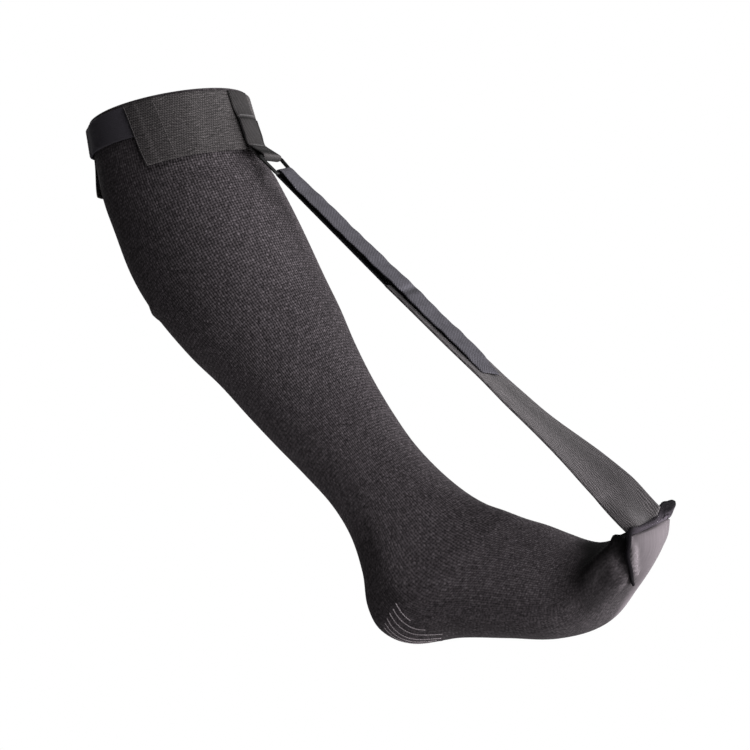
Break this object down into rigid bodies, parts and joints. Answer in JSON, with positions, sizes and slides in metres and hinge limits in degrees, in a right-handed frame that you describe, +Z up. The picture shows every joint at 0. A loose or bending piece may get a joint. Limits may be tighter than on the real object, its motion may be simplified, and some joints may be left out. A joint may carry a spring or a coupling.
{
  "type": "plantar fasciitis night sock",
  "caption": "Knee-high knitted night sock, worn form: an elastic strap from the toe seam folds through a wire ring on the cuff to hold the toes up.",
  "frame": {"origin": "centre of the sock's mouth, where the leg goes in", "axes": "+X towards the toes, +Z up, -Y the side of the cuff's closure; the leg leans back as a resting leg does"},
  "size_m": [0.4407, 0.1232, 0.3865],
  "materials": {
    "knit": "coarse knitted mesh, black with grey flecks",
    "cuff_elastic": "ribbed woven elastic, charcoal",
    "loop_tape": "matt loop pile, near black",
    "tab_webbing": "woven webbing, charcoal",
    "ring_wire": "gloss black enamel",
    "hook_tape": "fine twill, blue grey",
    "strap_elastic": "woven elastic, warm grey",
    "binding": "overlocked thread, purple black"
  },
  "bodies": {
    "root": {"sock_body": "knit", "cuff_elastic": "cuff_elastic", "cuff_loop_tape": "loop_tape", "ring_tab": "tab_webbing", "strap_ring": "ring_wire", "hook_strap": "hook_tape", "toe_strap": "strap_elastic", "toe_binding": "binding"}
  },
  "joints": []
}
